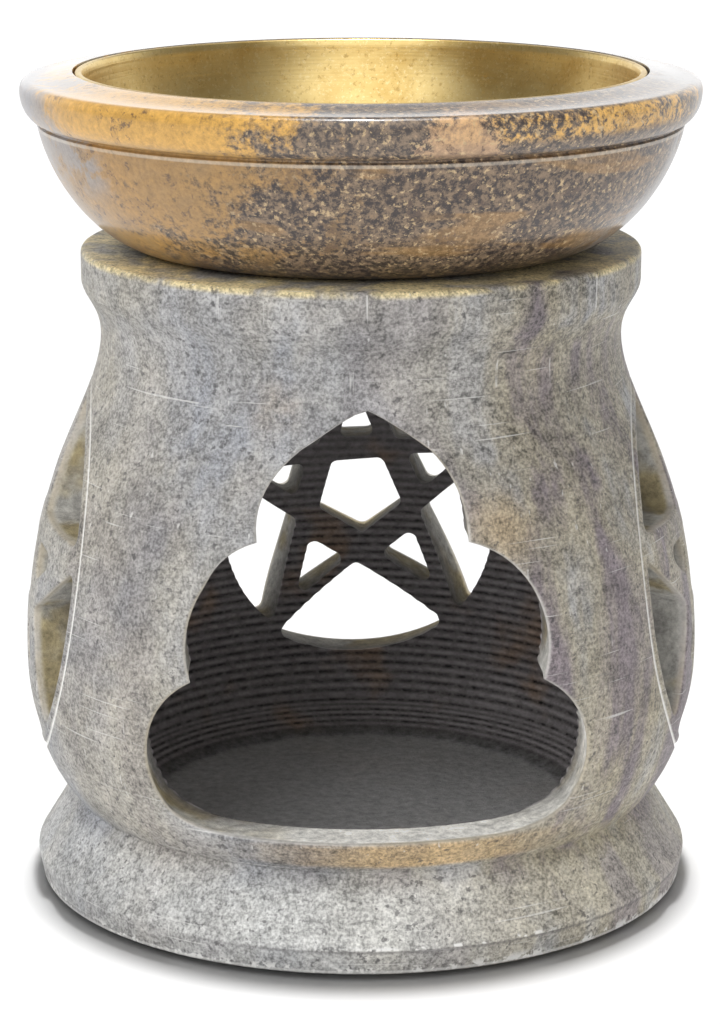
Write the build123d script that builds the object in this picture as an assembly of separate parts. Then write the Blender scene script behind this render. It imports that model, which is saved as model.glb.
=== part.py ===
from build123d import *
import math
import os

# Essential oil burner turned and pierced in soapstone. A hollow body with a foiled arch at the front and
# a pierced star window at each side and at the back carries a turned dish in its mouth, and a spun brass
# bowl sits in the dish. Millimetres, +Z up, origin on the table under the turning axis, arch towards -Y.

# Body, turned outside: the foot and the waist lie inside the belly by their insets
belly_radius = 41.3
belly_height = 29.5
belly_low_handle = 11.6
belly_high_handle = 22.0
foot_inset = 0.8
foot_draft = 0.8
foot_edge_height = 3.2
foot_edge_round = 1.2
waist_inset = 5.5
waist_height = 11.6
neck_radius = 31.5
neck_drop = 10.4
neck_low_handle = 8.5
neck_high_handle = 3.6
rim_radius = 33.75
rim_band = 3.7
rim_band_handle = 1.8
rim_round = 0.7
body_height = 79.0

# Body, bored inside
floor_thickness = 8.0
floor_radius = 24.5
belly_wall = 6.6
waist_wall = 4.5
chamber_low_handle = 14.3
mouth_radius = 23.0

# Front arch: it stands between waist and neck, and its half width is true at its inset from the belly.
# Its lobes and cusps are shares of its own half width and height. Its walls close in on an upright line
# behind the axis, a little to one side, as sawn by hand.
arch_inset = 8.8
arch_half = 26.0
arch_sill_rise = 4.0
arch_apex_drop = 2.9
arch_sill_half_share = 0.785
arch_low_rise_share = 0.194
arch_low_cusp_half_share = 0.8
arch_low_cusp_rise_share = 0.385
arch_mid_half_share = 0.815
arch_mid_rise_share = 0.483
arch_high_cusp_half_share = 0.465
arch_high_cusp_rise_share = 0.707
arch_top_half_share = 0.435
arch_top_rise_share = 0.79
arch_shoulder_half_share = 0.292
arch_shoulder_rise_share = 0.91
arch_focus_behind = 56.0
arch_focus_side = -14.0

# Star windows: a ring between waist and neck, with a five-pointed star of straight bars left standing
# in it. The walls are sawn towards the axis, within an angle to each side of the window's middle.
window_low_rise = 6.9
window_high_drop = 7.1
window_half_angle = 32.46
star_tip_gap = 2.0
star_bar = 3.5
star_points = 5
window_turns = (90.0, 180.0, 270.0)

# Dish, turned
dish_height = 21.0
seat_width = 1.7
spigot_gap = 0.4
spigot_depth = 2.5
ledge_width = 5.5
dish_under_handle = 6.3
dish_side_handle = 7.2
dish_side_lean = 1.3
groove_inset = 2.1
groove_drop = 6.2
groove_width = 0.8
groove_depth = 0.5
dish_radius = 40.6
dish_edge_drop = 2.3
dish_band_handle = 1.8
dish_lip_width = 1.3
dish_lip_drop = 0.75

# Brass bowl, spun
bowl_edge_inset = 6.3
bowl_depth = 14.0
bowl_wall = 0.8
bowl_floor_inset = 12.0
bowl_side_handle = 8.0
bowl_side_taper = 0.8
bowl_floor_handle = 8.0
bowl_lip_gap = 0.3
bowl_corner_gap = 1.6

# Cutters reach this far past the faces that they cut
overcut = 4.0

# Places that follow from the sizes above
neck_height = body_height - neck_drop
rim_band_height = body_height - rim_band
foot_radius = belly_radius - foot_inset
foot_base_radius = foot_radius - foot_draft
waist_radius = belly_radius - waist_inset
chamber_radius = belly_radius - belly_wall
arch_distance = belly_radius - arch_inset
arch_sill_height = waist_height + arch_sill_rise
arch_height = neck_height - arch_apex_drop - arch_sill_height
window_low = waist_height + window_low_rise
window_high = neck_height - window_high_drop
window_height = (window_low + window_high) / 2
window_radius = (window_high - window_low) / 2
window_spread = math.tan(math.radians(window_half_angle))
star_tip_radius = window_radius - star_tip_gap
seat_radius = mouth_radius + seat_width
spigot_radius = mouth_radius - spigot_gap
dish_top = body_height + dish_height
recess_radius = dish_radius - bowl_edge_inset
bowl_radius = recess_radius - bowl_lip_gap
bowl_floor_radius = bowl_radius - bowl_floor_inset
heat_hole_radius = bowl_floor_radius - ledge_width
groove_radius = dish_radius - groove_inset
groove_low = dish_top - groove_drop
groove_high = groove_low + groove_width
bowl_floor = dish_top - bowl_depth
outer_reach = max(belly_radius, foot_radius) + overcut


def turned(profile):
    """Spins a closed profile, drawn with radius across and height up, about the axis."""
    return revolve(Plane.XZ * profile, Axis.Z)


def rounded(profile, corner, radius):
    """Rounds the profile's corner nearest to a point."""
    nearest = profile.vertices().sort_by_distance((*corner, 0))[0]
    return fillet(nearest, radius)


def body_profile():
    foot_edge = (foot_radius, foot_edge_height)
    waist = (waist_radius, waist_height)
    belly = (belly_radius, belly_height)
    neck = (neck_radius, neck_height)
    band = (rim_radius, rim_band_height)
    rim = (rim_radius, body_height)
    outline = [
        Line((0, 0), (foot_base_radius, 0)),
        Line((foot_base_radius, 0), foot_edge),
        Line(foot_edge, waist),
        Bezier(waist, (belly_radius, belly_height - belly_low_handle), belly),
        Bezier(
            belly,
            (belly_radius, belly_height + belly_high_handle),
            (neck_radius, neck_height - neck_low_handle),
            neck,
        ),
        Bezier(
            neck,
            (neck_radius, neck_height + neck_high_handle),
            (rim_radius, rim_band_height - rim_band_handle),
            band,
        ),
        Line(band, rim),
        Line(rim, (0, body_height)),
        Line((0, body_height), (0, 0)),
    ]
    profile = rounded(make_face(outline), foot_edge, foot_edge_round)
    return rounded(profile, rim, rim_round)


def chamber_profile():
    """The bore: a round-cornered floor, a bellied wall and a straight mouth that leaves at the rim."""
    wall = (chamber_radius, belly_height)
    throat = (mouth_radius, neck_height)
    top = body_height + overcut
    outline = [
        Line((0, floor_thickness), (floor_radius, floor_thickness)),
        Bezier(
            (floor_radius, floor_thickness),
            (waist_radius - waist_wall, floor_thickness),
            (chamber_radius, belly_height - chamber_low_handle),
            wall,
        ),
        Bezier(
            wall,
            (chamber_radius, belly_height + belly_high_handle),
            (mouth_radius, neck_height - neck_low_handle),
            throat,
        ),
        Line(throat, (mouth_radius, top)),
        Line((mouth_radius, top), (0, top)),
        Line((0, top), (0, floor_thickness)),
    ]
    return make_face(outline)


def arch_outline(distance):
    """The arch's outline at a distance from the axis, with its half widths closing in on the focus."""
    closing = (arch_distance - distance) / (arch_distance + arch_focus_behind)

    def point(half_share, rise_share):
        half = half_share * arch_half
        return (half + (arch_focus_side - half) * closing, arch_sill_height + rise_share * arch_height)

    def side(sign):
        sill = point(sign * arch_sill_half_share, 0)
        low_cusp = point(sign * arch_low_cusp_half_share, arch_low_cusp_rise_share)
        high_cusp = point(sign * arch_high_cusp_half_share, arch_high_cusp_rise_share)
        shoulder = point(sign * arch_shoulder_half_share, arch_shoulder_rise_share)
        apex = point(0, 1)
        return [
            ThreePointArc(sill, point(sign, arch_low_rise_share), low_cusp),
            ThreePointArc(low_cusp, point(sign * arch_mid_half_share, arch_mid_rise_share), high_cusp),
            ThreePointArc(high_cusp, point(sign * arch_top_half_share, arch_top_rise_share), shoulder),
            Line(shoulder, apex),
        ]

    right = side(1)
    left = side(-1)
    sill_line = Line(left[0] @ 0, right[0] @ 0)
    return make_face([sill_line, *right, *left])


def arch_cutter():
    inner_distance = mouth_radius / 2
    faces = [Plane.XZ.offset(distance) * arch_outline(distance) for distance in (outer_reach, inner_distance)]
    return loft(faces, ruled=True)


def window_section(distance, outline):
    """Sets a flat outline of the window upright at a distance from the axis, towards -Y."""
    return Plane.XZ.offset(distance) * Pos(0, window_height) * outline


def window_ring(distance):
    """The ring at a distance from the axis: it widens across with distance, not upwards."""
    return window_section(distance, Ellipse(window_spread * distance, window_radius))


def star_bar_section(distance, turn):
    """One bar of the star at a distance from the axis, turned about the middle of the window."""
    widening = window_spread * distance / window_radius
    bar_low = star_tip_radius * math.cos(2 * math.pi / star_points) - star_bar / 2
    bar_high = bar_low + star_bar
    bar_end = 2 * window_radius
    corners = [(-bar_end, bar_low), (bar_end, bar_low), (bar_end, bar_high), (-bar_end, bar_high)]
    turned_corners = [Vector(*corner).rotate(Axis.Z, turn) for corner in corners]
    widened = [(corner.X * widening, corner.Y) for corner in turned_corners]
    return window_section(distance, make_face(Polyline(*widened, close=True)))


def window_cutter():
    """What is sawn out of one window: the ring's cone less the five bars that run from tip to tip."""
    ends = (outer_reach, mouth_radius / 2)
    bar_ends = (outer_reach + overcut, mouth_radius / 2 - overcut)
    ring = loft([window_ring(distance) for distance in ends], ruled=True)
    turns = [360 / star_points * index for index in range(star_points)]
    bars = [loft([star_bar_section(distance, turn) for distance in bar_ends], ruled=True) for turn in turns]
    return ring - bars


def stone_body():
    body = turned(body_profile()) - turned(chamber_profile())
    body -= arch_cutter()
    cutter = window_cutter()
    for turn in window_turns:
        body -= Rot(0, 0, turn) * cutter
    return body


def stone_dish():
    """The dish: spigot, seat, rounded belly, groove, rolled edge, and a bored recess for the bowl."""
    seat = (seat_radius, body_height)
    groove = (groove_radius, groove_low)
    groove_mid = (groove_radius - groove_depth, (groove_low + groove_high) / 2)
    band = (groove_radius, groove_high)
    edge = (dish_radius, dish_top - dish_edge_drop)
    lip = (dish_radius - dish_lip_width, dish_top - dish_lip_drop)
    recess_top = (recess_radius, dish_top)
    ledge = (bowl_floor_radius + bowl_corner_gap, bowl_floor)
    spigot_foot = body_height - spigot_depth
    outline = [
        Line((heat_hole_radius, spigot_foot), (spigot_radius, spigot_foot)),
        Line((spigot_radius, spigot_foot), (spigot_radius, body_height)),
        Line((spigot_radius, body_height), seat),
        Bezier(
            seat,
            (seat_radius + dish_under_handle, body_height),
            (groove_radius - dish_side_lean, groove_low - dish_side_handle),
            groove,
        ),
        Line(groove, groove_mid),
        Line(groove_mid, band),
        Bezier(band, (dish_radius, edge[1] - dish_band_handle), edge),
        Bezier(edge, (dish_radius, lip[1]), lip),
        Line(lip, recess_top),
        Bezier(
            recess_top,
            (recess_top[0] - bowl_side_taper, dish_top - bowl_side_handle),
            (ledge[0] + bowl_floor_handle, bowl_floor),
            ledge,
        ),
        Line(ledge, (heat_hole_radius, bowl_floor)),
        Line((heat_hole_radius, bowl_floor), (heat_hole_radius, spigot_foot)),
    ]
    return turned(make_face(outline))


def brass_bowl():
    """The bowl: a flat floor on the dish's ledge and a side that rises to the dish's top."""

    def side(inset, lift):
        return Bezier(
            (bowl_radius - inset, dish_top),
            (bowl_radius - inset - bowl_side_taper, dish_top - bowl_side_handle),
            (bowl_floor_radius - inset + bowl_floor_handle, bowl_floor + lift),
            (bowl_floor_radius - inset, bowl_floor + lift),
        )

    outside = side(0, 0)
    inside = side(bowl_wall, bowl_wall)
    axis_low = (0, bowl_floor)
    axis_high = (0, bowl_floor + bowl_wall)
    outline = [
        Line(axis_low, outside @ 1),
        outside,
        Line(outside @ 0, inside @ 0),
        inside,
        Line(inside @ 1, axis_high),
        Line(axis_high, axis_low),
    ]
    return turned(make_face(outline))


os.makedirs("parts", exist_ok=True)
export_step(stone_body(), "parts/stone_body.step")
export_step(stone_dish(), "parts/stone_dish.step")
export_step(brass_bowl(), "parts/brass_bowl.step")
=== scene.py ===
import bisect
import bmesh
import bpy
import math
from mathutils import Matrix, Vector, noise


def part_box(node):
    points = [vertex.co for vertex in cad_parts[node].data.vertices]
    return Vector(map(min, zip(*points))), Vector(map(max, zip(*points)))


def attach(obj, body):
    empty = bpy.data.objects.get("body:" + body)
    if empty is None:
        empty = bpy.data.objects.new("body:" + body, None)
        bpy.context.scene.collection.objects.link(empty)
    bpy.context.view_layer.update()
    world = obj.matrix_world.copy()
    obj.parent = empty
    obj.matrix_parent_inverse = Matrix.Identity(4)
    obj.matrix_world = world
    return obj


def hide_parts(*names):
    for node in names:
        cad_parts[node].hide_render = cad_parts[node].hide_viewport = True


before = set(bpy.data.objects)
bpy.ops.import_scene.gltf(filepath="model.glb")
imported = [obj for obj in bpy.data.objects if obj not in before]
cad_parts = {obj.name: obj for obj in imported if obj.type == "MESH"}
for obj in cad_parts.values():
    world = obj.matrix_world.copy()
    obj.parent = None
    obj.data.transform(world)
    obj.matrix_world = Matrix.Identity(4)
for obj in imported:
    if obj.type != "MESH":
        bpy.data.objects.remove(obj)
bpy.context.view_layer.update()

# Shapes are drawn in millimetres and made metres when a piece is finished.
MM = 0.001

# Stone body, turned outside and bored inside
FOOT_BASE_RADIUS = 39.7
FOOT_RADIUS = 40.5
FOOT_EDGE_HEIGHT = 4.0
WAIST_RADIUS = 35.8
WAIST_HEIGHT = 11.6
BELLY_RADIUS = 41.28
BELLY_HEIGHT = 29.5
NECK_RADIUS = 31.5
NECK_HEIGHT = 68.6
RIM_RADIUS = 33.75
RIM_BAND_HEIGHT = 75.3
RIM_ROUND = 0.7
BODY_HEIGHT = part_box("stone_body")[1].z / MM
FLOOR_HEIGHT = 8.0
FLOOR_RADIUS = 24.5
CHAMBER_RADIUS = 34.7
MOUTH_RADIUS = 23.0

# Stone dish and brass bowl
TOP_HEIGHT = 100.0
LEDGE_HEIGHT = 86.0
DISH_RADIUS = 40.59
BOWL_RADIUS = 34.0

# The wall between waist and neck is drawn flat on four upright panels and wrapped about the axis.
PANEL = 33.8
PANEL_WIDTH = 2 * PANEL
SEAM_LEFT = -2.5 * PANEL_WIDTH
SEAM_RIGHT = 1.5 * PANEL_WIDTH
WALL = 6.6
COLUMNS = 144
OUTER_ROW = 1.3
RIDGE_PITCH = 1.15
RIDGE_ROWS = 2
RIDGE_HEIGHT = 0.24
RIDGE_START = 12.5
RIDGE_FADE_LOW = 6
RIDGE_FADE_HIGH = 4

# Star windows, on the panels at the back, left and right, as cut by hand: the star's turn, the window's drop
# and the radius of the line scribed around it
WINDOWS = {-2: (-4.0, 0.45, 25.2), -1: (-5.0, 0.0, 23.2), 1: (0.0, 0.2, 23.2)}
BACK_PANEL = -2
WINDOW_HEIGHT = 40.0
WINDOW_RADIUS = 21.5
STAR_TIP_RADIUS = 19.8
STAR_BAR = 2.9
STAR_POINTS = 5
STAR_CORNER = 1.0
RING_LINE_WIDTH = 0.8
RING_LINE_DEPTH = 0.25
WORN_EDGE = 0.5
WORN_STEPS = 4

# Hand work: how far and how broadly the openings wander from true
HAND_WARP = 0.35
HAND_SCALE = 0.06
HAND_SEED = 5

# How each opening of the star at the back strays: across, up and its growth; the middle comes first, then
# each point's own opening and the one after it, from the top point round
STRAYS = (
    (0.2, 0.2, 1.03), (0.0, 0.9, 1.2), (0.0, 0.0, 1.0), (-0.7, 0.6, 1.3), (1.2, 0.0, 1.0), (0.0, -1.4, 1.45),
    (1.4, -0.2, 1.0), (0.8, -1.7, 1.45), (0.0, 0.0, 1.0), (1.0, 0.3, 1.1), (0.0, 0.0, 1.0),
)
SIDE_GROWTH = 0.95

# Front arch
ARCH_OFFSET = 0.6
ARCH_FOCUS = (-16.0, 440.0)
ARCH_SILL = 15.6
ARCH_APEX = (0.3, 65.7)
ARCH_LEAN = 1.3
ARCH_LEAN_FROM = 46.0
ARCH_LEAN_TO = 62.0

# Reach of a slice, distance at which points are welded, and the angle from which an edge looks sharp
NEAR = 1e-5
WELD = 1e-3
SHARP_ANGLE = 38

# Camera, as in the photograph
CAMERA_PLACE = (0, -0.394, 0.145)
CAMERA_TILT = 75.82
CAMERA_LENS = 116
CAMERA_SENSOR = 36


def bezier(points, steps):
    """Points along a Bezier curve of any degree."""
    curve = []
    for step in range(steps + 1):
        share = step / steps
        row = [Vector(point) for point in points]
        while len(row) > 1:
            row = [a.lerp(b, share) for a, b in zip(row, row[1:])]
        curve.append(row[0])
    return curve


def arc(start, middle, end, steps):
    """Points along the circle's arc from start through middle to end."""
    a, b, c = Vector(start), Vector(middle), Vector(end)
    ab, ac = b - a, c - a
    cross = 2 * (ab.x * ac.y - ab.y * ac.x)
    centre = a + Vector((
        (ac.y * ab.length_squared - ab.y * ac.length_squared) / cross,
        (ab.x * ac.length_squared - ac.x * ab.length_squared) / cross,
    ))
    first = math.atan2(a.y - centre.y, a.x - centre.x)
    sweep = math.atan2(c.y - centre.y, c.x - centre.x) - first
    turn = 2 * math.pi
    sweep = sweep % turn if cross > 0 else -((-sweep) % turn)
    radius = (a - centre).length
    angles = [first + sweep * step / steps for step in range(steps + 1)]
    return [centre + radius * Vector((math.cos(angle), math.sin(angle))) for angle in angles]


class TurnedWall:
    """The radius of a turned wall at a height, from points of its profile."""

    def __init__(self, points):
        self.heights = [point[1] for point in points]
        self.radii = [point[0] for point in points]

    def radius(self, height):
        index = min(max(bisect.bisect_right(self.heights, height), 1), len(self.heights) - 1)
        low, high = self.heights[index - 1], self.heights[index]
        share = (height - low) / (high - low)
        return self.radii[index - 1] + (self.radii[index] - self.radii[index - 1]) * share


waist = (WAIST_RADIUS, WAIST_HEIGHT)
belly = (BELLY_RADIUS, BELLY_HEIGHT)
neck = (NECK_RADIUS, NECK_HEIGHT)
chamber_foot = (FLOOR_RADIUS, FLOOR_HEIGHT)
chamber_belly = (CHAMBER_RADIUS, BELLY_HEIGHT)
throat = (MOUTH_RADIUS, NECK_HEIGHT)
high_handle = BELLY_HEIGHT + 22.0
low_handle = NECK_HEIGHT - 8.5
belly_low = bezier([waist, (BELLY_RADIUS, BELLY_HEIGHT - 11.6), belly], 60)
belly_high = bezier([belly, (BELLY_RADIUS, high_handle), (NECK_RADIUS, low_handle), neck], 120)
chamber_low = bezier([chamber_foot, (CHAMBER_RADIUS, FLOOR_HEIGHT), chamber_belly], 80)
chamber_high = bezier([chamber_belly, (CHAMBER_RADIUS, high_handle), (MOUTH_RADIUS, low_handle), throat], 120)
outside = TurnedWall(belly_low + belly_high[1:])
chamber = TurnedWall(chamber_low + chamber_high[1:])


def panel_angle(across):
    """The angle about the axis, from the front, of a place on the flat panels."""
    panel = math.floor(across / PANEL_WIDTH + 0.5)
    return panel * math.pi / 2 + math.atan2(across - panel * PANEL_WIDTH, PANEL)


def panel_place(angle):
    """The place on the flat panels of an angle about the axis."""
    panel = math.floor(angle / (math.pi / 2) + 0.5)
    return panel * PANEL_WIDTH + PANEL * math.tan(angle - panel * math.pi / 2)


def arch_outline():
    """The arch's edge on the outside, anticlockwise from the middle of the sill, as x and height."""
    low_cusp, high_cusp, shoulder = (20.8, 34.9), (12.1, 51.0), (7.6, 61.2)
    corner_start, corner_end = (15.0, ARCH_SILL), (23.4, 18.1)
    half = [Vector((share * corner_start[0] / 8, ARCH_SILL)) for share in range(1, 8)]
    half += bezier([corner_start, (20.9, ARCH_SILL), corner_end], 8)
    half += arc(corner_end, (26.0, 25.3), low_cusp, 20)[1:]
    half += arc(low_cusp, (21.2, 39.8), high_cusp, 20)[1:]
    half += arc(high_cusp, (11.3, 55.2), shoulder, 10)[1:]
    half += bezier([shoulder, (3.4, 64.4), ARCH_APEX], 6)[1:-1]
    mirrored = []
    for point in reversed(half):
        rise = min(1, max(0, (point.y - ARCH_LEAN_FROM) / (ARCH_LEAN_TO - ARCH_LEAN_FROM)))
        mirrored.append(Vector((-point.x - ARCH_LEAN * math.sin(math.pi * rise), point.y)))
    points = [Vector((0, ARCH_SILL))] + half + [Vector(ARCH_APEX)] + mirrored
    return [point + Vector((ARCH_OFFSET, 0)) for point in points]


def arch_inner_place(across, height):
    """Where the arch's wall, closing in on its focus, meets the chamber."""
    angle = panel_angle(across)
    radius = outside.radius(height)
    start = Vector((radius * math.sin(angle), -radius * math.cos(angle)))
    way = (Vector(ARCH_FOCUS) - start).normalized()
    along = start.dot(way)
    reach = -along - math.sqrt(along * along - radius * radius + chamber.radius(height) ** 2)
    end = start + reach * way
    return panel_place(math.atan2(end.x, -end.y))


def sink(bm, face, across, depth):
    """Insets a face of the flat wall and sets its inner copy at a depth."""
    bmesh.ops.inset_individual(bm, faces=[face], thickness=across, use_even_offset=True)
    for vert in face.verts:
        vert.co.z = -depth


def worn_steps():
    """How far in and how deep each step of a worn edge lies, from the outside down to the wall."""
    angles = [math.pi / 2 * step / WORN_STEPS for step in range(1, WORN_STEPS + 1)]
    return [(WORN_EDGE * math.sin(angle), WORN_EDGE * (1 - math.cos(angle))) for angle in angles]


def star_openings():
    """Each opening's straight sides: the way across a bar, and whether the opening lies beyond that bar."""
    angles = [math.pi / 2 + 2 * math.pi / STAR_POINTS * index for index in range(STAR_POINTS)]
    ways = [Vector((math.cos(angle), math.sin(angle), 0)) for angle in angles]
    openings = [[(way, False) for way in ways]]
    for before, way, after in zip(ways[-1:] + ways[:-1], ways, ways[1:] + ways[:1]):
        openings.append([(way, True), (before, False), (after, False)])
        openings.append([(way, True), (after, True)])
    return openings


def star_outline(sides):
    """One opening's outline: corners drawn in by their rounding, each with its ways out."""
    bm = bmesh.new()
    bmesh.ops.create_circle(bm, cap_ends=True, radius=WINDOW_RADIUS - STAR_CORNER, segments=120)
    bar_middle = STAR_TIP_RADIUS * math.cos(2 * math.pi / STAR_POINTS)
    for way, beyond in sides:
        limit = bar_middle + (STAR_BAR / 2 + STAR_CORNER) * (1 if beyond else -1)
        geometry = [*bm.faces, *bm.edges, *bm.verts]
        bmesh.ops.bisect_plane(bm, geom=geometry, plane_co=way * limit, plane_no=way, dist=NEAR,
                               clear_inner=beyond, clear_outer=not beyond)
    face = bm.faces[:][0]
    face.normal_update()
    corners = [vert.co.to_2d() for vert in face.verts]
    if face.normal.z < 0:
        corners.reverse()
    bm.free()
    outline = []
    for before, corner, after in zip(corners[-1:] + corners[:-1], corners, corners[1:] + corners[:1]):
        first = math.atan2(before.x - corner.x, corner.y - before.y)
        turn = (math.atan2(corner.x - after.x, after.y - corner.y) - first) % (2 * math.pi)
        steps = math.ceil(turn / math.radians(20)) if turn > math.radians(8) else 0
        shares = [step / steps for step in range(steps + 1)] if steps else [0.5]
        for share in shares:
            angle = first + turn * share
            outline.append((corner.to_3d(), Vector((math.cos(angle), math.sin(angle), 0))))
    return outline


def star_window(bm, panel, marks, chalk):
    """Draws one window in the flat wall; gives back its outer ring and its openings, worn to their walls."""
    turn, drop, ring_radius = WINDOWS[panel]
    middle = Vector((panel * PANEL_WIDTH, WINDOW_HEIGHT - drop, 0))
    turned = Matrix.Rotation(math.radians(turn), 3, "Z")
    ring = bmesh.ops.create_circle(bm, cap_ends=True, radius=ring_radius, segments=120,
                                   matrix=Matrix.Translation(middle))
    face = ring["verts"][0].link_faces[0]
    for depth in (RING_LINE_DEPTH, 0):
        sink(bm, face, RING_LINE_WIDTH / 2, depth)
        for vert in face.verts:
            vert[chalk] = depth / RING_LINE_DEPTH
    edges = list(face.edges)

    def on_ring(vert):
        return abs((vert.co - middle).length - ring_radius) < 1e-3

    outer_edges = [edge for edge in bm.edges if all(on_ring(vert) for vert in edge.verts)]
    bmesh.ops.delete(bm, geom=[face], context="FACES_ONLY")
    openings = {}
    for sides, (across, up, growth) in zip(star_openings(), STRAYS):
        outline = star_outline(sides)
        centre = sum((corner for corner, way in outline), Vector()) / len(outline)
        stray = Vector((across, up, 0))
        if panel != BACK_PANEL:
            stray, growth = Vector(), SIDE_GROWTH
        strayed = [(centre + (corner - centre) * growth + stray, way) for corner, way in outline]
        outline = [(turned @ corner, turned @ way) for corner, way in strayed]
        reach = STAR_CORNER + WORN_EDGE
        opening = bm.faces.new([bm.verts.new(middle + corner + way * reach) for corner, way in outline])
        openings[opening] = outline
        edges += list(opening.edges)
    fill(bm, edges, marks)
    for opening, outline in openings.items():
        for across, depth in worn_steps():
            sink(bm, opening, 1e-3, depth)
            for vert, (corner, way) in zip(opening.verts, outline):
                place = middle + corner + way * (STAR_CORNER + WORN_EDGE - across)
                vert.co.xy = place.xy
    return outer_edges, list(openings)


def boundary(bm, corner_low, corner_high, depth):
    """The four edges of a flat rectangle at a depth."""
    size = Vector((corner_high[0] - corner_low[0], corner_high[1] - corner_low[1]))
    centre = Vector(((corner_low[0] + corner_high[0]) / 2, (corner_low[1] + corner_high[1]) / 2, -depth))
    matrix = Matrix.Translation(centre) @ Matrix.Diagonal((size.x, size.y, 1, 1))
    grid = bmesh.ops.create_grid(bm, x_segments=1, y_segments=1, size=0.5, matrix=matrix)
    face = grid["verts"][0].link_faces[0]
    edges = list(face.edges)
    bmesh.ops.delete(bm, geom=[face], context="FACES_ONLY")
    return edges


def fill(bm, edges, marks):
    """Fills a flat wall between its boundary and its openings; the fill's own edges are marked."""
    filled = bmesh.ops.triangle_fill(bm, edges=edges, use_beauty=True)
    kept = set(edges)
    for element in filled["geom"]:
        if isinstance(element, bmesh.types.BMEdge) and element not in kept:
            element[marks] = 1


def flat_wall(bm):
    """The pierced wall drawn flat: x across the panels, y up, z into the wall."""
    marks = bm.edges.layers.int.new("fill")
    chalk = bm.verts.layers.float.new("chalk")
    edges = boundary(bm, (SEAM_LEFT, WAIST_HEIGHT), (SEAM_RIGHT, NECK_HEIGHT), 0)
    openings = []
    for panel in WINDOWS:
        ring_edges, stars = star_window(bm, panel, marks, chalk)
        edges += ring_edges
        openings += stars
    outline = []
    for point in arch_outline():
        angle = math.asin(point.x / outside.radius(point.y))
        outline.append(bm.verts.new((panel_place(angle), point.y, 0)))
    arch = bm.faces.new(outline)
    edges += list(arch.edges)
    fill(bm, edges, marks)
    reached = 0
    for across, depth in worn_steps():
        sink(bm, arch, across - reached, depth)
        reached = across
    inner_edges = boundary(bm, (SEAM_LEFT, WAIST_HEIGHT), (SEAM_RIGHT, NECK_HEIGHT), WALL)
    for opening in [*openings, arch]:
        through = bmesh.ops.extrude_discrete_faces(bm, faces=[opening])["faces"][0]
        for vert in through.verts:
            if opening is arch:
                vert.co.x = arch_inner_place(vert.co.x, vert.co.y)
            vert.co.z = -WALL
        inner_edges += list(through.edges)
        bmesh.ops.delete(bm, geom=[through], context="FACES_ONLY")
    fill(bm, inner_edges, marks)
    return marks


def sliced(bm, faces, places, axis):
    """Slices faces across an axis in each of the places: the middle one first, then each half by itself."""
    if not places or not faces:
        return
    middle = len(places) // 2
    normal = Vector((0, 0, 0))
    normal[axis] = 1
    geometry = dict.fromkeys(faces)
    for face in faces:
        geometry.update(dict.fromkeys([*face.edges, *face.verts]))
    cut = bmesh.ops.bisect_plane(bm, geom=list(geometry), plane_co=normal * places[middle],
                                 plane_no=normal, dist=NEAR)
    halves = ([], [])
    for element in cut["geom"]:
        if isinstance(element, bmesh.types.BMFace):
            halves[element.calc_center_median()[axis] > places[middle]].append(element)
    sliced(bm, halves[0], places[:middle], axis)
    sliced(bm, halves[1], places[middle + 1:], axis)


def grid_wall(bm, marks):
    """Slices the flat wall into columns and rows, so that it can bend, and clears the fill's edges."""
    turn = 2 * math.pi / COLUMNS
    columns = [panel_place(turn * column - 5 * math.pi / 4) for column in range(1, COLUMNS)]
    sliced(bm, bm.faces[:], columns, 0)
    height = NECK_HEIGHT - WAIST_HEIGHT
    deep = [face for face in bm.faces if all(vert.co.z < 1e-4 - WALL for vert in face.verts)]
    inner = set(deep)
    shallow = [face for face in bm.faces if face not in inner]
    rows = round(height / OUTER_ROW)
    sliced(bm, shallow, [WAIST_HEIGHT + height * row / rows for row in range(1, rows)], 1)
    rows = round(height / RIDGE_PITCH) * RIDGE_ROWS
    sliced(bm, deep, [WAIST_HEIGHT + height * row / rows for row in range(1, rows)], 1)
    through = [face for face in bm.faces if abs(face.normal.z) < 0.5]
    sliced(bm, through, [-WALL * share for share in (0.75, 0.5, 0.28)], 2)
    bmesh.ops.dissolve_edges(bm, edges=[edge for edge in bm.edges if edge[marks]], use_verts=False)
    spare = [vert for vert in bm.verts if len(vert.link_edges) == 2 and vert.calc_edge_angle(1) < 0.01]
    bmesh.ops.dissolve_verts(bm, verts=spare)
    odd = [face for face in bm.faces if len(face.verts) > 4 or not all(loop.is_convex for loop in face.loops)]
    bmesh.ops.triangulate(bm, faces=odd, quad_method="BEAUTY", ngon_method="BEAUTY")


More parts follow.
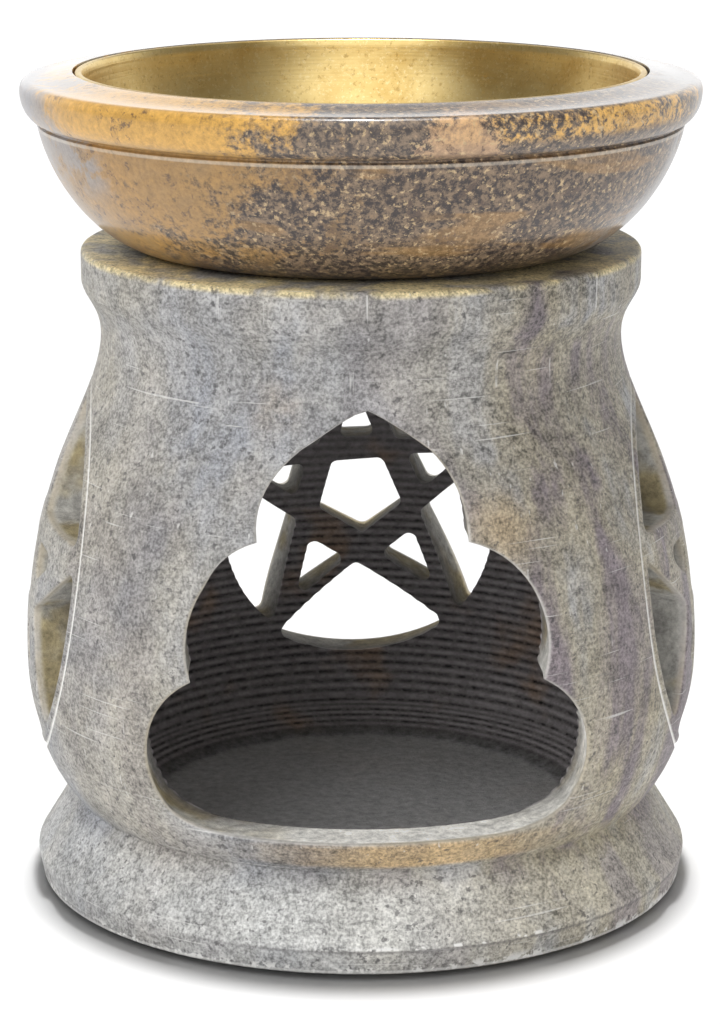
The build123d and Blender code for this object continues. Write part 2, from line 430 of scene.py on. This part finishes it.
def wrapped_wall(bm, depths):
    """Bends the flat wall about the axis, a little out of true by hand, with the lathe's ridges inside."""
    noise.seed_set(HAND_SEED)
    for vert in bm.verts:
        across, height, depth = vert.co.x, vert.co.y, -vert.co.z / WALL
        vert[depths] = depth
        rise = (height - WAIST_HEIGHT) / (NECK_HEIGHT - WAIST_HEIGHT)
        side = (across - SEAM_LEFT) / (SEAM_RIGHT - SEAM_LEFT)
        free = min(1, 12 * rise * (1 - rise), 40 * side * (1 - side)) * (1 - depth)
        away = noise.noise_vector(Vector((across, height, 0)) * HAND_SCALE) * (HAND_WARP * free)
        angle = panel_angle(across + away.x)
        height += away.y
        inner = chamber.radius(height)
        if depth > 0.999:
            wear = 0.6 + 0.5 * noise.noise(Vector((3 * math.sin(angle), 3 * math.cos(angle), height * 0.2)))
            fade_low = max(0, (height - RIDGE_START) / RIDGE_FADE_LOW)
            fade = min(1, fade_low, max(0, (NECK_HEIGHT - height) / RIDGE_FADE_HIGH))
            wave = math.cos(2 * math.pi * (height - WAIST_HEIGHT) / RIDGE_PITCH)
            inner += RIDGE_HEIGHT * wear * fade * wave
        radius = outside.radius(height) * (1 - depth) + inner * depth
        vert.co = (radius * math.sin(angle), -radius * math.cos(angle), height)


def spun(bm, points):
    """Spins a profile of radius and height once about the axis and gives back its points."""
    before = set(bm.verts)
    verts = [bm.verts.new((0, -radius, height)) for radius, height in points]
    edges = [bm.edges.new(pair) for pair in zip(verts, verts[1:])]
    bmesh.ops.spin(bm, geom=verts + edges, axis=(0, 0, 1), cent=(0, 0, 0), angle=2 * math.pi, steps=COLUMNS,
                   use_merge=True)
    return [vert for vert in bm.verts if vert not in before]


def subdivided(points, longest):
    """A profile with its long straight runs divided."""
    result = [Vector(points[0])]
    for start, end in zip(points, points[1:]):
        start, end = Vector(start), Vector(end)
        parts = max(1, math.ceil((end - start).length / longest))
        result += [start.lerp(end, part / parts) for part in range(1, parts + 1)]
    return result


def finished(bm, name, node, body, material):
    """Makes the piece: welded, turned outwards, in metres, and set in the frame."""
    bmesh.ops.remove_doubles(bm, verts=bm.verts, dist=WELD)
    bmesh.ops.recalc_face_normals(bm, faces=bm.faces)
    bmesh.ops.scale(bm, vec=(MM, MM, MM), verts=bm.verts)
    mesh = bpy.data.meshes.new(name)
    bm.to_mesh(mesh)
    bm.free()
    mesh.shade_smooth()
    mesh.set_sharp_from_angle(angle=math.radians(SHARP_ANGLE))
    mesh.materials.append(material)
    piece = bpy.data.objects.new(name, mesh)
    bpy.context.scene.collection.objects.link(piece)
    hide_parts(node)
    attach(piece, body)
    return piece


class Socket:
    """A shader node's output that takes arithmetic."""

    def __init__(self, finish, socket):
        self.finish = finish
        self.socket = socket

    def math(self, operation, first, second):
        return self.finish.node("ShaderNodeMath", {"operation": operation}, {0: first, 1: second})

    def __add__(self, other):
        return self.math("ADD", self, other)

    def __radd__(self, other):
        return self.math("ADD", other, self)

    def __sub__(self, other):
        return self.math("SUBTRACT", self, other)

    def __rsub__(self, other):
        return self.math("SUBTRACT", other, self)

    def __mul__(self, other):
        return self.math("MULTIPLY", self, other)

    def __rmul__(self, other):
        return self.math("MULTIPLY", other, self)


class Shading:
    """A shader's nodes, with one node that everything feeds."""

    def __init__(self, tree, shader):
        self.tree = tree
        self.shader = tree.nodes[shader]

    def node(self, kind, settings=None, inputs=None, output=0):
        node = self.tree.nodes.new(kind)
        for name, value in (settings or {}).items():
            setattr(node, name, value)
        for name, value in (inputs or {}).items():
            if isinstance(value, Socket):
                self.tree.links.new(value.socket, node.inputs[name])
            else:
                node.inputs[name].default_value = value
        return Socket(self, node.outputs[output])

    def between(self, value, low, high):
        """A smooth step from 0 at low to 1 at high."""
        settings = {"interpolation_type": "SMOOTHSTEP"}
        return self.node("ShaderNodeMapRange", settings, {"Value": value, "From Min": low, "From Max": high})

    def feed(self, socket, value):
        self.tree.links.new(value.socket, self.shader.inputs[socket])


class Finish(Shading):
    """A material built from nodes, on coordinates in millimetres."""

    def __init__(self, name, **constants):
        self.material = bpy.data.materials.new(name)
        self.material.use_nodes = True
        super().__init__(self.material.node_tree, "Principled BSDF")
        for socket, value in constants.items():
            self.shader.inputs[socket.replace("_", " ")].default_value = value
        metres = self.node("ShaderNodeTexCoord", output="Object")
        inputs = {"Vector": metres, "Scale": 1 / MM}
        self.place = self.node("ShaderNodeVectorMath", {"operation": "SCALE"}, inputs)

    def axis(self, index):
        return self.node("ShaderNodeSeparateXYZ", None, {"Vector": self.place}, output=index)

    def attribute(self, name):
        return self.node("ShaderNodeAttribute", {"attribute_name": name}, output="Fac")

    def stretched(self, scale, turn=(0, 0, 0)):
        inputs = {"Vector": self.place, "Rotation": [math.radians(angle) for angle in turn], "Scale": scale}
        return self.node("ShaderNodeMapping", None, inputs)

    def tinted(self, base, tone):
        """A colour made lighter or darker by a number."""
        return self.node("ShaderNodeVectorMath", {"operation": "SCALE"}, {0: base, "Scale": tone})

    def grain(self, scale, detail=3, roughness=0.5, distortion=0, place=None):
        inputs = {"Vector": place or self.place, "Scale": scale, "Detail": detail, "Roughness": roughness,
                  "Distortion": distortion}
        return self.node("ShaderNodeTexNoise", None, inputs)

    def spot(self, middle, reach):
        """A soft round patch: 1 in the middle and 0 at its reach."""
        inputs = {0: self.place, 1: middle}
        distance = self.node("ShaderNodeVectorMath", {"operation": "DISTANCE"}, inputs, output="Value")
        return 1 - self.between(distance, 0, reach)

    def mix(self, share, low, high):
        settings = {"data_type": "RGBA"}
        return self.node("ShaderNodeMix", settings, {0: share, 6: low, 7: high}, output=2)

    def bumps(self, height, distance, strength=1):
        inputs = {"Height": height, "Distance": distance * MM, "Strength": strength}
        self.feed("Normal", self.node("ShaderNodeBump", None, inputs))


def colour(red, green, blue):
    """A colour as a screen shows it, 0 to 255, made linear."""
    linear = []
    for value in (red, green, blue):
        value /= 255
        linear.append(value / 12.92 if value <= 0.04045 else ((value + 0.055) / 1.055) ** 2.4)
    return (*linear, 1)


def body_stone():
    """Grey soapstone: speckled, streaked and scratched, worn at edges, sawn in the openings, sooty inside;
    with painted light on the foot, the arch's sill and right jamb and the chamber floor, a painted highlight
    on the bottom edge, and painted shade on the upper right, below the foot's edge, deep in the openings and
    in the chamber's ridges and floor corner.
    """
    stone = Finish("body soapstone", Specular_IOR_Level=0.4)
    depth, chalk = stone.attribute("depth"), stone.attribute("chalk")
    x, height = stone.axis(0), stone.axis(2)
    cloud = stone.grain(0.045, 4, 0.55, 0.5)
    patch = stone.grain(0.16, 4, 0.6, 0.5)
    mottle = stone.grain(0.9, 5, 0.72)
    speck = stone.between(stone.grain(2.8, 3, 0.65), 0.37, 0.63)
    brush = stone.grain(1, 4, 0.65, 0, stone.stretched((0.22, 0.22, 2.2), (3, 4, 0)))
    base = stone.mix(stone.between(cloud, 0.36, 0.62), colour(142, 144, 149), colour(160, 158, 155))
    right = stone.between(x, 2, 22)
    olive = stone.between(stone.grain(0.05, 3, 0.6, 0.3), 0.5, 0.68)
    base = stone.mix(olive * (0.25 + 0.3 * right), base, colour(158, 150, 126))
    upright = stone.grain(1, 4, 0.55, 0.3, stone.stretched((0.11, 0.11, 0.018), (0, 13, 0)))
    streaked = 0.25 + 0.75 * right
    base = stone.mix(stone.between(upright, 0.34, 0.5) * streaked * 0.65, base, colour(157, 147, 122))
    base = stone.mix(stone.between(upright, 0.48, 0.62) * streaked * 0.9, base, colour(120, 111, 117))
    sill = stone.between(height, 11.8, 13.0) - stone.between(height, 15.2, 16.8)
    tints = stone.spot((17, -36, 53), 9) * 0.7 + stone.spot((-10, -31, 65.5), 7) * patch * 0.8
    tints = tints + sill * stone.spot((6, -37, 14), 30) * (0.4 + patch)
    base = stone.mix(stone.between(tints, 0.05, 1.0) * 0.75, base, colour(190, 160, 112))
    rim = stone.between(height, BODY_HEIGHT - 1.0, BODY_HEIGHT - 0.3)
    base = stone.mix(rim * stone.between(patch, 0.36, 0.56), base, colour(198, 184, 144))
    above = height - FOOT_EDGE_HEIGHT
    # The foot is painted paler, most at its front middle and above its edge: painted light.
    foot_painted_light = (0.4 + 0.35 * stone.spot((0, -40, 6), 36)) * (0.55 + 0.45 * stone.between(above, -0.5, 0))
    foot = stone.mix(right * 0.6, colour(198, 198, 195), colour(190, 182, 162))
    base = stone.mix(foot_painted_light * (1 - stone.between(height, 8.5, 11.6)), base, foot)
    tone = 0.7 + 0.6 * speck + 1.9 * (mottle - 0.5) + 0.6 * (brush - 0.5) + 1.3 * (patch - 0.5)
    # Darker on the upper right, where less light falls: painted shade.
    tone = tone - 0.14 * right * stone.between(height, 46, 60)
    base = stone.tinted(base, stone.node("ShaderNodeMath", {"operation": "MAXIMUM"}, {0: tone, 1: 0.25}))
    pits = stone.between(stone.grain(1.1, 3, 0.6), 0.58, 0.66) * stone.between(patch, 0.4, 0.56)
    base = stone.mix(pits * 0.7, base, colour(68, 66, 68))
    across = stone.grain(1, 2, 0.5, 0, stone.stretched((0.06, 0.06, 3.2), (-5, 3, 0)))
    down = stone.grain(1, 2, 0.5, 0, stone.stretched((1.5, 1.5, 0.05), (0, 6, 0)))
    scratch = stone.between(across, 0.68, 0.74) + stone.between(down, 0.7, 0.76)
    base = stone.mix(scratch * 0.5, base, colour(230, 229, 226))
    worn = stone.between(depth, 0.004, 0.05)
    pale = stone.mix(stone.between(cloud, 0.4, 0.6), colour(206, 203, 198), colour(192, 182, 162))
    base = stone.mix(worn * (0.2 + 0.9 * mottle), base, pale)
    base = stone.mix(stone.between(chalk, 0.2, 0.8) * (0.4 + 0.9 * mottle), base, colour(240, 239, 236))
    sawn = stone.between(depth, 0.08, 0.2)
    grit = stone.grain(0.7, 5, 0.75)
    earthy = stone.between(stone.grain(0.12, 3), 0.45, 0.62)
    tan = stone.mix(earthy, colour(172, 170, 164), colour(156, 144, 112))
    # Near-white on the arch's sill and right jamb: painted light.
    painted_light_sill_jamb = stone.spot((6, -34, 16), 32)
    painted_light_sill_jamb = stone.between(painted_light_sill_jamb + stone.spot((27, -30, 30), 12), 0, 0.9)
    tan = stone.mix(painted_light_sill_jamb, tan, colour(244, 242, 236))
    # Darker deeper into each opening's cut wall, away from the sill and jamb: painted shade.
    tan = stone.mix(stone.between(depth, 0.35, 0.95) * (1 - painted_light_sill_jamb) * 0.8, tan, colour(104, 100, 98))
    base = stone.mix(sawn, base, stone.tinted(tan, 1.0 + 2.4 * (grit - 0.5)))
    soot = stone.between(depth, 0.9, 1)
    brown = stone.between(stone.grain(0.09, 3), 0.54, 0.7)
    smoke = stone.mix(brown * 0.8, colour(128, 124, 125), colour(150, 126, 106))
    # The chamber's floor is paler than its walls: painted light.
    smoke = stone.mix(0.9 - 0.9 * stone.between(height, 8.05, 8.9), smoke, colour(172, 172, 172))
    # Dark lines at the lathe ridges' pitch: painted shade of the ridges.
    phase = (height - WAIST_HEIGHT) * (2 * math.pi / RIDGE_PITCH)
    ridge_shade = stone.node("ShaderNodeMath", {"operation": "COSINE"}, {0: phase})
    close = stone.node("ShaderNodeMath", {"operation": "COSINE"}, {0: 2 * phase})
    ridge_shade = close + stone.between(height, 10, 13) * (ridge_shade - close)
    chatter = stone.between(stone.grain(1, 3, 0.65, 0, stone.stretched((0.75, 0.75, 1.1))), 0.36, 0.6)
    ridged = stone.between(height, 8.4, 9.4) * (1 - 0.6 * stone.between(height, 34, 46))
    # A dark line where the chamber's floor meets its wall: painted shade.
    corner = stone.between(height, 8.02, 8.3) - stone.between(height, 8.4, 9.2)
    smoke_tone_and_shade = 1.0 + 1.6 * (mottle - 0.5) - ridged * (0.15 + 0.6 * chatter) * ridge_shade - 0.5 * corner
    # The chamber's colour takes its random tone together with the painted shade of its ridges and floor
    # corner.
    smoke = stone.tinted(smoke, smoke_tone_and_shade)
    base = stone.mix(soot, base, smoke)
    chips = stone.between(stone.grain(0.45, 3, 0.7), 0.5, 0.56)
    # A pale line along the bottom edge: painted highlight, broken by white chips.
    edge = stone.between(height, 0.75, 0.9) - stone.between(height, 1.1, 1.3 + 0.9 * chips)
    line = stone.between(above, -0.35, -0.1) - stone.between(above, 0, 0.3)
    # A dark band just below the foot's edge, on the left: painted shade.
    under_edge_shade = stone.between(above, -0.8, -0.4) - stone.between(above, -0.35, -0.15)
    base = stone.mix(under_edge_shade * stone.between(x, -30, 0) * 0.5, base, colour(84, 82, 82))
    chipped = stone.between(x, -12, 4) * (1 - stone.between(x, 18, 26)) * chips
    # White chips on the foot's edge, with the painted highlight of the bottom edge.
    chips_and_edge_highlight = edge * (0.55 + 0.45 * chips) + line * chipped
    base = stone.mix(chips_and_edge_highlight, base, colour(234, 233, 230))
    stone.feed("Base Color", base)
    stone.feed("Roughness", 0.42 + 0.2 * mottle + 0.2 * sawn)
    relief = 0.5 * mottle + 0.25 * brush + 0.12 * speck + 0.3 * stone.grain(0.3, 3) + 1.6 * sawn * grit
    stone.bumps(relief, 0.14)
    return stone.material


def dish_stone():
    """Polished soapstone: ochre to one side, dark and speckled in the middle, with a painted grey sheen at
    its sides and ends, painted light on the rim band and a painted highlight below the groove.
    """
    stone = Finish("dish soapstone", Coat_Roughness=0.12)
    x, y, height = stone.axis(0), stone.axis(1), stone.axis(2)
    drift = stone.grain(0.055, 4, 0.6, 0.6)
    fine = stone.grain(1.3, 5, 0.75)
    blot = stone.grain(0.22, 5, 0.7, 0.3)
    field = x * -0.02 + y * -0.006 + 1.1 * drift + 0.9 * blot + 0.6 * fine
    ochre = stone.between(field, 1.6, 1.86)
    # Lighter on the rim band above the groove, where light falls from above: painted light.
    light = stone.between(height, 94.0, 95.5)
    gold = stone.mix(stone.between(drift, 0.35, 0.65), colour(166, 127, 70), colour(148, 119, 80))
    gold = stone.mix(light * 0.85, gold, colour(212, 164, 82))
    dark = stone.mix(stone.between(fine, 0.42, 0.58), colour(58, 49, 48), colour(124, 105, 85))
    dark = stone.mix(light * 0.12, dark, colour(150, 140, 130))
    base = stone.mix(ochre, dark, gold)
    slant = stone.stretched((0.05, 0.05, 0.22), (0, 35, 0))
    veins = stone.between(stone.grain(1, 3, 0.6, 0.5, slant), 0.56, 0.66)
    base = stone.mix(veins * 0.5 * (1 - ochre), base, colour(166, 128, 76))
    stripe = stone.between(height, 95.6, 96.8) - stone.between(height, 98.9, 99.3)
    broken = stone.between(0.5 * blot + 0.5 * fine, 0.44, 0.54) * stone.between(x, 7, 10)
    base = stone.mix(stripe * broken * 0.9, base, colour(214, 168, 92))
    ragged = stone.spot((11, -38, 95.5), 8) + 1.4 * (blot - 0.5) + 1.2 * (fine - 0.5)
    blotch = stone.between(ragged, 0.25, 0.6)
    base = stone.mix(blotch * light * 0.75, base, colour(196, 160, 124))
    spots = stone.between(blot, 0.56, 0.63) * stone.between(fine, 0.44, 0.56)
    base = stone.mix(spots * 0.8, base, colour(74, 58, 52))
    crumbs = stone.between(stone.grain(1.5, 3, 0.6), 0.57, 0.66) * (1 - ochre)
    base = stone.mix(crumbs * 0.75, base, colour(196, 170, 130))
    # Grey towards the sides and the back: painted sheen.
    grey = stone.between(stone.grain(0.03, 2, 0.5, 0.5) + 0.012 * y, 0.28, 0.46)
    base = stone.mix(grey * (0.85 - 0.9 * stone.between(blot, 0.48, 0.6)), base, colour(142, 139, 140))
    # A pale line just below the groove: painted highlight.
    groove_highlight = stone.between(height, 93.4, 93.55) - stone.between(height, 93.75, 93.95)
    base = stone.mix(groove_highlight * (0.1 + 0.5 * drift), base, colour(216, 206, 190))
    # Lilac grey at the far left end: painted sheen.
    ends = 1 - stone.between(x, -39, -36.5)
    base = stone.mix(ends * stone.between(blot, 0.35, 0.5) * 0.9, base, colour(140, 140, 147))
    base = stone.tinted(base, 1.0 + 1.4 * (fine - 0.5))
    stone.feed("Base Color", base)
    stone.feed("Roughness", 0.22 + 0.22 * fine)
    stone.feed("Coat Weight", 0.3 + 0.6 * stone.between(height, 98.4, 99.2))
    stone.bumps(fine + 0.6 * blot, 0.05)
    return stone.material


def bowl_brass():
    """Spun brass, satin and a little tarnished, with the fine rings of the tool that spun it."""
    brass = Finish("bowl brass", Metallic=1.0)
    tarnish = brass.grain(0.1, 4, 0.6, 0.4)
    flecks = brass.between(brass.grain(1.6, 4, 0.7), 0.54, 0.66)
    rings = brass.grain(1, 3, 0.6, 0, brass.stretched((0.02, 0.02, 4)))
    base = brass.mix(brass.between(tarnish, 0.4, 0.7), colour(228, 202, 138), colour(204, 172, 104))
    base = brass.mix(flecks * 0.4, base, colour(150, 116, 58))
    glints = brass.between(brass.grain(2.4, 3, 0.7), 0.55, 0.64)
    base = brass.mix(glints * 0.35, base, colour(250, 234, 186))
    brass.feed("Base Color", base)
    brass.feed("Roughness", 0.27 + 0.12 * rings + 0.1 * flecks)
    brass.bumps(rings, 0.02)
    return brass.material


def stone_body():
    """The body: a pierced wall between a spun foot and a spun rim, hollow from floor to mouth."""
    wall = bmesh.new()
    grid_wall(wall, flat_wall(wall))
    wrapped_wall(wall, wall.verts.layers.float.new("depth"))
    wall_mesh = bpy.data.meshes.new("wall")
    wall.to_mesh(wall_mesh)
    wall.free()
    bm = bmesh.new()
    depths = bm.verts.layers.float.new("depth")
    bm.verts.layers.float.new("chalk")
    foot_low = [(0, 0), (FOOT_BASE_RADIUS - 3.2, 0)]
    foot_low += bezier([foot_low[-1], (FOOT_BASE_RADIUS - 3.1, 0.55), (FOOT_BASE_RADIUS - 0.5, 0.6)], 6)[1:]
    foot_low += bezier([foot_low[-1], (FOOT_BASE_RADIUS + 0.1, 0.62), (FOOT_BASE_RADIUS + 0.2, 0.95)], 4)[1:]
    edge_start = (FOOT_RADIUS - 0.1, FOOT_EDGE_HEIGHT - 0.4)
    edge_end = (FOOT_RADIUS - 0.25, FOOT_EDGE_HEIGHT + 0.4)
    foot_edge = bezier([edge_start, (FOOT_RADIUS, FOOT_EDGE_HEIGHT), edge_end], 6)
    spun(bm, subdivided(foot_low, 6)[:-1] + subdivided([foot_low[-1], *foot_edge, waist], 0.7))
    band = (RIM_RADIUS, RIM_BAND_HEIGHT)
    rim = bezier([neck, (NECK_RADIUS, NECK_HEIGHT + 3.6), (RIM_RADIUS, RIM_BAND_HEIGHT - 1.8), band], 12)
    rim += bezier([(RIM_RADIUS, BODY_HEIGHT - RIM_ROUND), (RIM_RADIUS, BODY_HEIGHT),
                   (RIM_RADIUS - RIM_ROUND, BODY_HEIGHT)], 4)
    spun(bm, subdivided(rim + [(MOUTH_RADIUS + 0.4, BODY_HEIGHT)], 1.0))
    mouth = [(MOUTH_RADIUS + 0.4, BODY_HEIGHT), (MOUTH_RADIUS, BODY_HEIGHT - 0.4), throat]
    floor = [(chamber.radius(height), height) for height in (WAIST_HEIGHT, 10.8, 10.0, 9.3, 8.7, 8.3, 8.1)]
    inside = spun(bm, subdivided(mouth, 1.0))
    inside += spun(bm, subdivided([*floor, chamber_foot, (0, FLOOR_HEIGHT)], 1.2))
    for vert in inside:
        vert[depths] = 1
    bm.from_mesh(wall_mesh)
    bpy.data.meshes.remove(wall_mesh)
    return finished(bm, "carved_body", "stone_body", "body", body_stone())


def stone_dish():
    """The dish: spigot, seat, rounded belly, groove, rolled edge and a bored recess for the bowl."""
    bm = bmesh.new()
    hole, spigot, seat, foot, ledge, top = 16.5, 22.6, 24.7, 76.5, LEDGE_HEIGHT, TOP_HEIGHT
    groove_low, groove_high, edge = (38.6, top - 6.1), (39.2, top - 5.4), (DISH_RADIUS, top - 2.3)
    lip, recess = (39.3, top - 0.75), (34.3, top)
    profile = [(hole, foot), (spigot, foot), (spigot, BODY_HEIGHT), (seat, BODY_HEIGHT)]
    handles = [(31.0, BODY_HEIGHT), (37.2, groove_low[1] - 7.2)]
    profile += bezier([(seat, BODY_HEIGHT), *handles, groove_low], 30)[1:]
    profile += [(38.3, groove_low[1] + 0.2), (38.25, groove_low[1] + 0.4)]
    profile += bezier([groove_high, (40.5, edge[1] - 2.0), edge], 8)
    profile += bezier([edge, (edge[0], lip[1]), lip], 8)[1:]
    profile += bezier([lip, (37.5, lip[1]), (35.6, top - 0.15), recess], 8)[1:]
    profile += bezier([recess, (33.5, top - 8), (31.6, ledge), (23.6, ledge)], 20)[1:]
    profile += [(hole, ledge), (hole, foot)]
    spun(bm, subdivided(profile, 1.2))
    return finished(bm, "turned_dish", "stone_dish", "dish", dish_stone())


def brass_bowl():
    """The bowl: a flat floor on the dish's ledge and a side that rises to the dish's top."""
    bm = bmesh.new()
    top, floor, edge, wall = TOP_HEIGHT, LEDGE_HEIGHT, TOP_HEIGHT - 0.25, 0.8

    def side(inset, lift):
        return bezier([(BOWL_RADIUS - inset, edge), (33.2 - inset, top - 8), (30.0 - inset, floor + lift),
                       (22.0 - inset, floor + lift)], 28)

    lip = bezier([(BOWL_RADIUS, edge), (33.9, top + 0.05), (33.3, top + 0.05), (33.2, edge)], 6)
    profile = [(0, floor), *reversed(side(0, 0)), *lip[1:-1], *side(wall, wall), (0, floor + wall)]
    spun(bm, subdivided(profile, 1.0))
    return finished(bm, "spun_bowl", "brass_bowl", "bowl", bowl_brass())


def lit(name, kind, place, aim, **settings):
    """A lamp at a place, turned towards what it lights."""
    lamp = bpy.data.lights.new(name, kind)
    for setting, value in settings.items():
        setattr(lamp, setting, value)
    light = bpy.data.objects.new(name, lamp)
    light.location = place
    light.rotation_euler = (Vector(aim) - Vector(place)).to_track_quat("-Z", "Y").to_euler()
    bpy.context.scene.collection.objects.link(light)
    return light


def lit_only(lamp, pieces):
    """Keeps a lamp's light to some pieces, and the lamp out of their reflections."""
    group = bpy.data.collections.new(lamp.name)
    for piece in pieces:
        group.objects.link(piece)
    lamp.light_linking.receiver_collection = group
    lamp.visible_glossy = False


def studio(body, dish, bowl):
    """A pale floor, soft lights, of which only the top one lights the floor, and the photograph's camera."""
    scene = bpy.context.scene
    scene.view_settings.view_transform = "Standard"
    bpy.ops.mesh.primitive_plane_add(size=8)
    floor = bpy.context.object
    floor.name = "floor"
    paper = Finish("floor paper", Base_Color=(0.93, 0.93, 0.93, 1), Roughness=0.9, Specular_IOR_Level=0.1)
    floor.data.materials.append(paper.material)
    scene.world = bpy.data.worlds.new("studio")
    scene.world.use_nodes = True
    sky = Shading(scene.world.node_tree, "Background")
    sky.shader.inputs["Color"].default_value = (1, 1, 1, 1)
    way = sky.node("ShaderNodeTexCoord", output="Generated")
    toward = Vector((-0.05, -0.8, 0.55)).normalized()
    inputs = {0: way, 1: toward}
    facing = sky.node("ShaderNodeVectorMath", {"operation": "DOT_PRODUCT"}, inputs, output="Value")
    behind = sky.between(sky.node("ShaderNodeSeparateXYZ", None, {"Vector": way}, output="Y"), 0.15, 0.6)
    low = 1 - sky.between(sky.node("ShaderNodeSeparateXYZ", None, {"Vector": way}, output="Z"), 0.3, 0.6)
    seen, glossy, through = [sky.node("ShaderNodeLightPath", output=f"Is {kind} Ray")
                             for kind in ("Camera", "Glossy", "Transmission")]
    shine = 1.5 * sky.between(facing, 0.77, 0.95) + 1.1 * behind * low
    sky.feed("Strength", 0.2 + 0.8 * (seen + through) + glossy * shine)
    middle, front = (0, 0, 0.05), (-0.5, -0.8, 0.3)
    wide = {"shape": "RECTANGLE", "size": 0.8, "size_y": 0.5}
    lit("top light", "SUN", (0, 0.035, 1), (0, 0, 0), energy=3.1, angle=math.radians(3.5))
    lit_only(lit("dish light", "AREA", front, middle, energy=4.6, **wide), [dish, bowl])
    lit_only(lit("body light", "AREA", front, middle, energy=1.7, **wide), [body])
    lit_only(lit("high light", "AREA", (-0.4, -0.45, 0.62), middle, energy=4.8, **wide), [body])
    lit_only(lit("side light", "AREA", (0.85, -0.35, 0.15), middle, energy=2.8, **wide), [body, dish, bowl])
    lit_only(lit("back light", "AREA", (-0.3, 0.9, 0.2), middle, energy=1.6, **wide), [body, dish, bowl])
    view = bpy.data.cameras.new("camera")
    view.lens = CAMERA_LENS
    view.sensor_width = CAMERA_SENSOR
    camera = bpy.data.objects.new("camera", view)
    camera.location = CAMERA_PLACE
    camera.rotation_euler = (math.radians(CAMERA_TILT), 0, 0)
    scene.collection.objects.link(camera)
    scene.camera = camera


studio(stone_body(), stone_dish(), brass_bowl())
